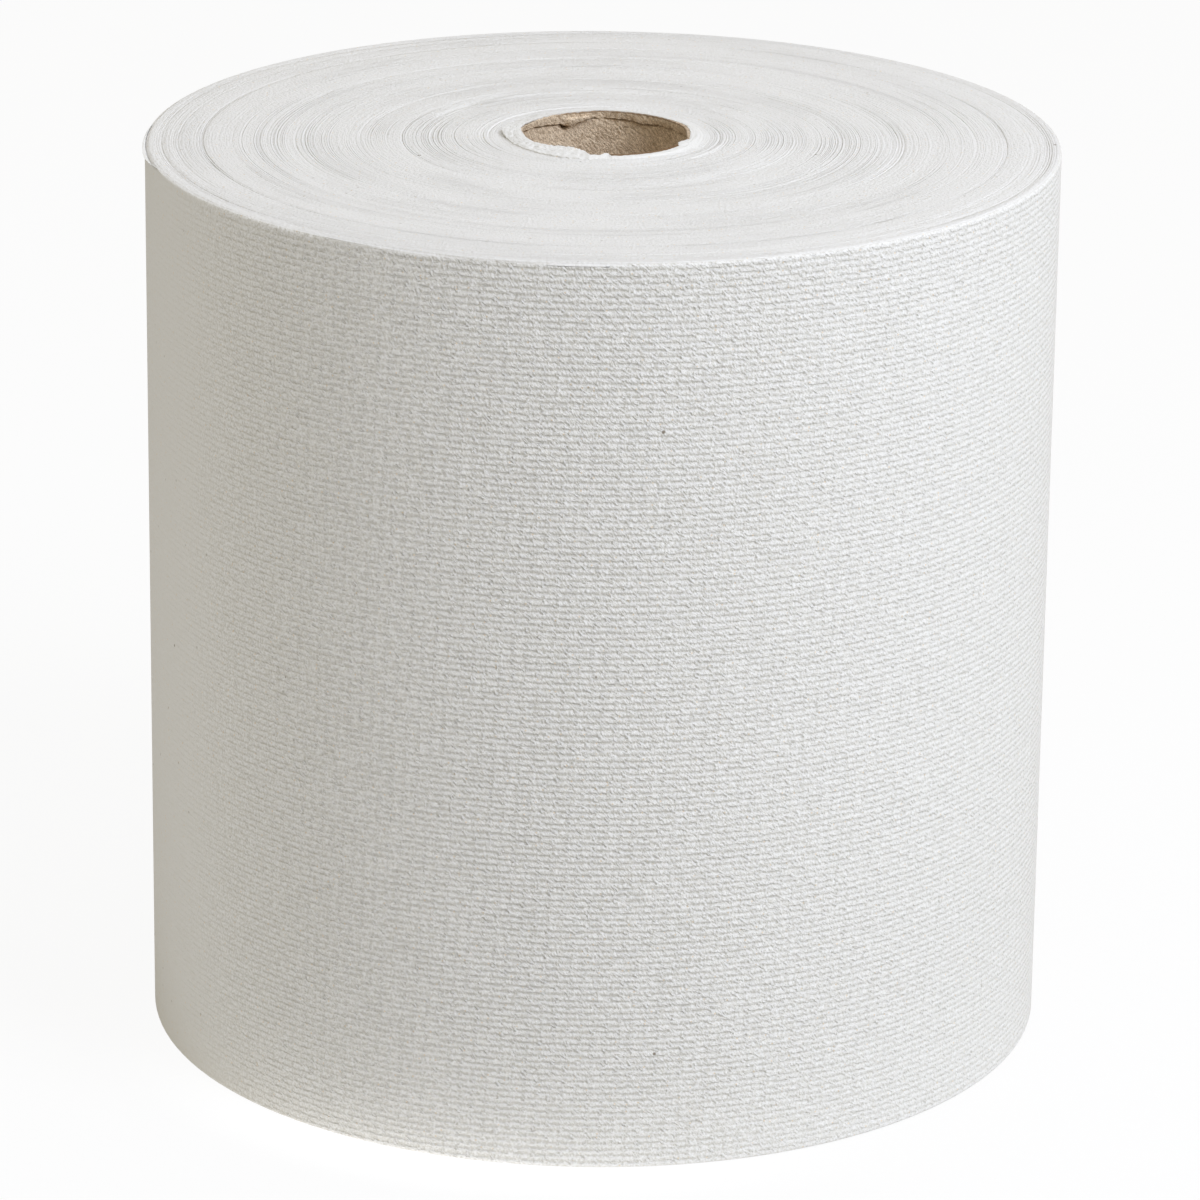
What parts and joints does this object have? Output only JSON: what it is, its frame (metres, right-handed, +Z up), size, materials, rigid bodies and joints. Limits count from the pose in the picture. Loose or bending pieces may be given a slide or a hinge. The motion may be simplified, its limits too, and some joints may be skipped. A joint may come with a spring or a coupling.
{
  "type": "paper towel roll",
  "caption": "White embossed paper towel wound hard on a bare kraft paperboard core, standing on one end, for a wall or counter dispenser.",
  "frame": {"origin": "middle of the lower end, on the surface that the roll stands on", "axes": "+Z up along the core; +Y to the back, where the free end of the sheet lies"},
  "size_m": [0.2023, 0.2024, 0.2049],
  "materials": {
    "kraft_board": "bare kraft paperboard, matt and slightly fibrous",
    "white_paper": "white towel paper, matt, embossed all over in short level ribs"
  },
  "bodies": {
    "root": {"core": "kraft_board", "paper_web": "white_paper"}
  },
  "joints": []
}
